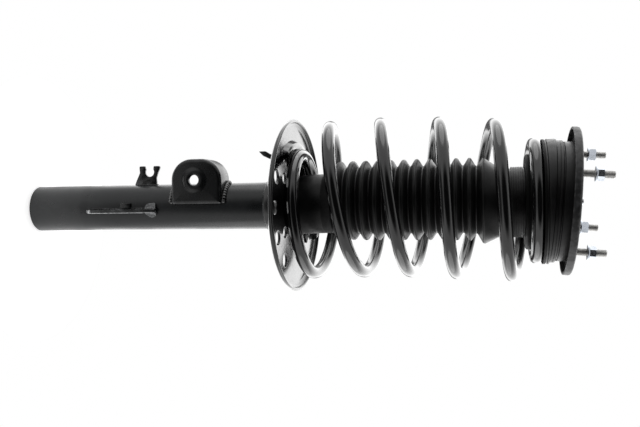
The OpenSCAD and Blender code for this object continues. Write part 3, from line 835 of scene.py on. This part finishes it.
def mount_body():
    """Stacked bands whose upper planes lean more and more, up to the plate's own lean."""
    low, band, line, step, groove, top = 599.7, 605.9, 609.4, 612.4, 614.0, 626.4
    outline = rounded([
        (33.05, low - 3.8), (43, low - 3.8, 0.6), (43, low), (67.3, low, 0.8), (67.3, band, 0.9),
        (65.5, band, 0.5), (65.5, line - 0.4, 0.3), (65.0, line - 0.2, 0.2), (65.0, line + 0.2, 0.2),
        (65.5, line + 0.4, 0.3), (65.5, step, 0.8), (62.5, step, 0.4), (62.5, groove, 0.4),
        (64, groove, 0.6), (64, top), (33.05, top)
    ])

    def leaning(r, z, turn):
        lean = (3.6 * ease(low + 0.6, band - 0.9, z) + 0.8 * ease(band + 0.6, step - 0.9, z)
                - 0.2 * ease(step + 0.1, groove, z))
        return r, turn, z - math.tan(math.radians(lean)) * r * math.sin(math.radians(turn))

    body = bare("mount_housing", [revolve(divided(outline, 6), 192, leaning)])
    finish_piece(body, "top_mount", "mount_moulding", "mount_body")


def at_studs(shape):
    return [moved(shape, PLATE_FRAME @ Matrix.Translation(around(STUD_CIRCLE_R, turn, 0)))
            for turn in STUD_TURNS]


def mount_plate():
    r = PLATE_R
    outline = rounded([
        (20.5, -3, 0.5), (36.5, -3, 1.5), (37.5, -1.6, 1.5), (43.5, -1.6, 1.5), (44.5, -3, 1.5),
        (r - 3, -3, 1.2), (r - 3, -8.2, 0.7), (r, -8.2, 1.0), (r, 0, 3.0), (44.8, 0, 1.5),
        (43.6, 1.4, 1.2), (37.4, 1.4, 1.2), (36.2, 0, 1.5), (23.4, 0, 1.2), (23, 3, 0.8), (20.5, 3, 0.8)
    ])
    plate = bare("tower_plate", [moved(revolve(outline, 224), PLATE_FRAME)])
    cut(plate, at_studs(revolve([(0, -9), (STUD_HOLE_R, -9), (STUD_HOLE_R, 6), (0, 6)], 40)))
    finish_piece(plate, "top_mount", "plate_coat", "mount_plate", sharp=35)
    # Faces under the plate's dish, inside its rim, get a near-black coat: painted shade where the dish
    # lies in shadow.
    plate.data.materials.append(MATERIALS["underside_painted_shade"])
    upright = PLATE_FRAME.inverted()
    for face in plate.data.polygons:
        spot = upright @ (face.center / MM)
        underneath = spot.z < -0.5 and math.hypot(spot.x, spot.y) < r - 2.4
        face.material_index = int(underneath)


def thread(low, high, major, depth, pitch, columns=36):
    """A threaded rod with chamfered ends, its crests on a helix."""
    rows = math.ceil((high - low) / (pitch / 6))
    side = [(major, low + (high - low) * k / rows) for k in range(rows + 1)]
    outline = [(0, low)] + side + [(0, high)]

    def crest(r, z, turn):
        if r == 0:
            return r, turn, z
        phase = (z / pitch - turn / 360) % 1
        ridge = 1 - abs(2 * phase - 1)
        fade = ease(low, low + 0.8, z) * (1 - ease(high - 0.9, high, z))
        return major - depth * min(1, 1.25 * (1 - ridge)) - 0.75 * (1 - fade), turn, z

    return revolve(outline, columns, crest)


def mount_studs():
    stud = thread(0.4, 32.5, 4.0, 0.62, 1.25)
    collar = revolve(rounded([
        (0, -8.2), (STUD_HOLE_R, -8.2, 0.5), (STUD_HOLE_R, 0.2, 0.4), (3.9, 1.6, 0.5), (0, 1.6)
    ]), 48)
    studs = bare("tower_studs", at_studs(stud) + at_studs(collar))
    finish_piece(studs, "top_mount", "stud_steel", "mount_studs", sharp=25)


def stud_nuts():
    """Flange nuts: a hexagon with chamfered corners on a dished flange, turned a little differently."""
    apothem, corner, low, high = 6.0, 6.93, 13.1, 21.7
    outline = rounded([
        (3.95, low + 0.4), (4.6, low), (7.8, low, 0.3), (7.8, low + 1.2, 0.4), (7.0, low + 2.1, 0.5),
        (6.95, low + 2.2), (6.95, high - 0.2), (6.0, high), (4.5, high), (3.95, high - 0.5)
    ])

    def hexagon(r, z, turn):
        if r < 6.01 or z < low + 2.15:
            return r, turn, z
        flat = apothem / math.cos(math.radians((turn + 30) % 60 - 30))
        drop = max(flat - apothem - 0.45, 0) * 0.6
        return min(flat, corner), turn, z - (drop if z > high - 1 else 0)

    nut = revolve(outline, 96, hexagon)
    nuts = []
    for turn, spin in zip(STUD_TURNS, (28, 32, -8, 0)):
        place = PLATE_FRAME @ Matrix.Translation(around(STUD_CIRCLE_R, turn, 0))
        nuts.append(moved(nut, place @ Matrix.Rotation(math.radians(spin), 4, "Z")))
    finish_piece(bare("flange_nuts", nuts), "top_mount", "zinc", "stud_nuts", sharp=28)


# ---- everything else keeps its own shape and gets its slot's material ----

def dress_nodes():
    slots = {row["node"]: row["material_slot"] for row in frame["record"]["subparts"]}
    for name, node in NODES.items():
        node.data.materials.clear()
        node.data.materials.append(MATERIALS[slots[name]])


# ---- studio ----

FLOOR_R = 160
DARK_TILT = math.radians(20)      # the dark opening's centre, from -Y towards +Z
DARK_EDGE = (math.radians(32), math.radians(56))
DARK_LIGHT, SIDE_LIGHT, BACKDROP_LIGHT = 0.02, 0.85, 2.4
BACKDROP_EDGE = (0.3, 0.9)        # the backdrop brightens as a direction points along Y
SKIRTING_EDGE = (0.86, 0.95)      # the skirting shows where a direction points along Y
SKIRTING_TOP = (-0.12, 0.06)      # and keeps below these heights of the direction
SKIRTING_DARKNESS = 0.95
PIT_TILT = math.radians(25)       # a darker patch of the room below, its centre from -Z towards -Y
PIT_EDGE = (math.radians(18), math.radians(36))
PIT_LIGHT = 0.12


def studio():
    disc = revolve([(0, -2), (FLOOR_R, -0.2), (0, -0.2)], 96)
    floor = bare("floor", [disc])
    paper = Nodes("floor_paper", (0.92, 0.92, 0.92), 0.9)
    paper.tint(paper.remap(paper.noise(3, 3), 0.3, 0.7, 0.0, 0.3), (0.9, 0.9, 0.9))
    paper.set("Emission Color", (1, 1, 1, 1))
    paper.set("Emission Strength", 0.5)
    floor.data.materials.append(paper.material)

    for name, spot, size, power in (
        ("key_light", (-1.7, 0.3, 0.45), 1.5, 7),
        ("fill_light", (1.7, 0.3, 0.35), 1.5, 6),
    ):
        data = bpy.data.lights.new(name, "AREA")
        data.shape, data.size, data.energy = "DISK", size, power
        lamp = bpy.data.objects.new(name, data)
        lamp.location = spot
        lamp.rotation_euler = (Vector((0, 0, 0.33)) - Vector(spot)).to_track_quat("-Z", "Y").to_euler()
        bpy.context.scene.collection.objects.link(lamp)


def white_room():
    """A white room: a lit backdrop with a dark skirting, pale sides and a dark opening in front."""
    world = bpy.data.worlds.new("room")
    bpy.context.scene.world = world
    world.use_nodes = True
    tree = world.node_tree
    tree.nodes.clear()

    def node(kind, **settings):
        made = tree.nodes.new(kind)
        for name, value in settings.items():
            setattr(made, name, value)
        return made

    def ramp(value, low, high, to_low, to_high):
        made = node("ShaderNodeMapRange", interpolation_type="SMOOTHSTEP")
        for socket, number in zip(RANGE_SOCKETS, (low, high, to_low, to_high)):
            made.inputs[socket].default_value = number
        tree.links.new(value, made.inputs["Value"])
        return made.outputs["Result"]

    def product(a, b):
        made = node("ShaderNodeMath", operation="MULTIPLY")
        tree.links.new(a, made.inputs[0])
        tree.links.new(b, made.inputs[1])
        return made.outputs[0]

    way = node("ShaderNodeTexCoord").outputs["Generated"]
    facing = node("ShaderNodeVectorMath", operation="DOT_PRODUCT")
    facing.inputs[1].default_value = (0, -math.cos(DARK_TILT), math.sin(DARK_TILT))
    tree.links.new(way, facing.inputs[0])
    split = node("ShaderNodeSeparateXYZ")
    tree.links.new(way, split.inputs[0])
    sides = ramp(facing.outputs["Value"], math.cos(DARK_EDGE[1]), math.cos(DARK_EDGE[0]),
                 SIDE_LIGHT, DARK_LIGHT)
    back = ramp(split.outputs["Y"], *BACKDROP_EDGE, 0.0, BACKDROP_LIGHT - SIDE_LIGHT)
    lit = node("ShaderNodeMath", operation="ADD")
    tree.links.new(sides, lit.inputs[0])
    tree.links.new(back, lit.inputs[1])
    behind = ramp(split.outputs["Y"], *SKIRTING_EDGE, 0.0, 1.0)
    low = ramp(split.outputs["Z"], *SKIRTING_TOP, SKIRTING_DARKNESS, 0.0)
    skirting = product(behind, low)
    pit = node("ShaderNodeVectorMath", operation="DOT_PRODUCT")
    pit.inputs[1].default_value = (0, -math.sin(PIT_TILT), -math.cos(PIT_TILT))
    tree.links.new(way, pit.inputs[0])
    open_floor = ramp(pit.outputs["Value"], math.cos(PIT_EDGE[1]), math.cos(PIT_EDGE[0]),
                      1.0, PIT_LIGHT)
    kept = node("ShaderNodeMath", operation="SUBTRACT")
    kept.inputs[0].default_value = 1.0
    tree.links.new(skirting, kept.inputs[1])
    total = product(product(lit.outputs[0], kept.outputs[0]), open_floor)
    seen = node("ShaderNodeLightPath")
    choose = node("ShaderNodeMix")
    choose.inputs["B"].default_value = 1.0
    tree.links.new(total, choose.inputs["A"])
    tree.links.new(seen.outputs["Is Camera Ray"], choose.inputs["Factor"])
    background = node("ShaderNodeBackground")
    background.inputs["Color"].default_value = (1, 1, 1, 1)
    tree.links.new(choose.outputs["Result"], background.inputs["Strength"])
    tree.links.new(background.outputs["Background"], node("ShaderNodeOutputWorld").inputs["Surface"])


def camera():
    """Looks at the strut from the side, a little towards its lower end, with -X up in the picture."""
    data = bpy.data.cameras.new("camera")
    data.lens, data.sensor_width = 45, 36
    obj = bpy.data.objects.new("camera", data)
    bpy.context.scene.collection.objects.link(obj)
    slant = math.radians(12)
    right, up = Vector((0, math.sin(slant), math.cos(slant))), Vector((-1, 0, 0))
    turned = Matrix((right, up, right.cross(up))).transposed().to_4x4()
    aim = Matrix.Rotation(math.radians(-0.62), 4, "X") @ Matrix.Rotation(math.radians(-0.8), 4, "Z")
    obj.matrix_world = Matrix.Translation((0, -0.894, 0.541)) @ turned @ aim
    bpy.context.scene.camera = obj
    bpy.context.scene.view_settings.view_transform = "Standard"


dress_nodes()
outer_tube()
locating_blade()
hose_clip()
link_bracket()
lower_spring_seat()
line_tab()
coil_spring()
dust_boot()
boot_band()
upper_insulator()
mount_body()
mount_plate()
mount_studs()
stud_nuts()
studio()
white_room()
camera()
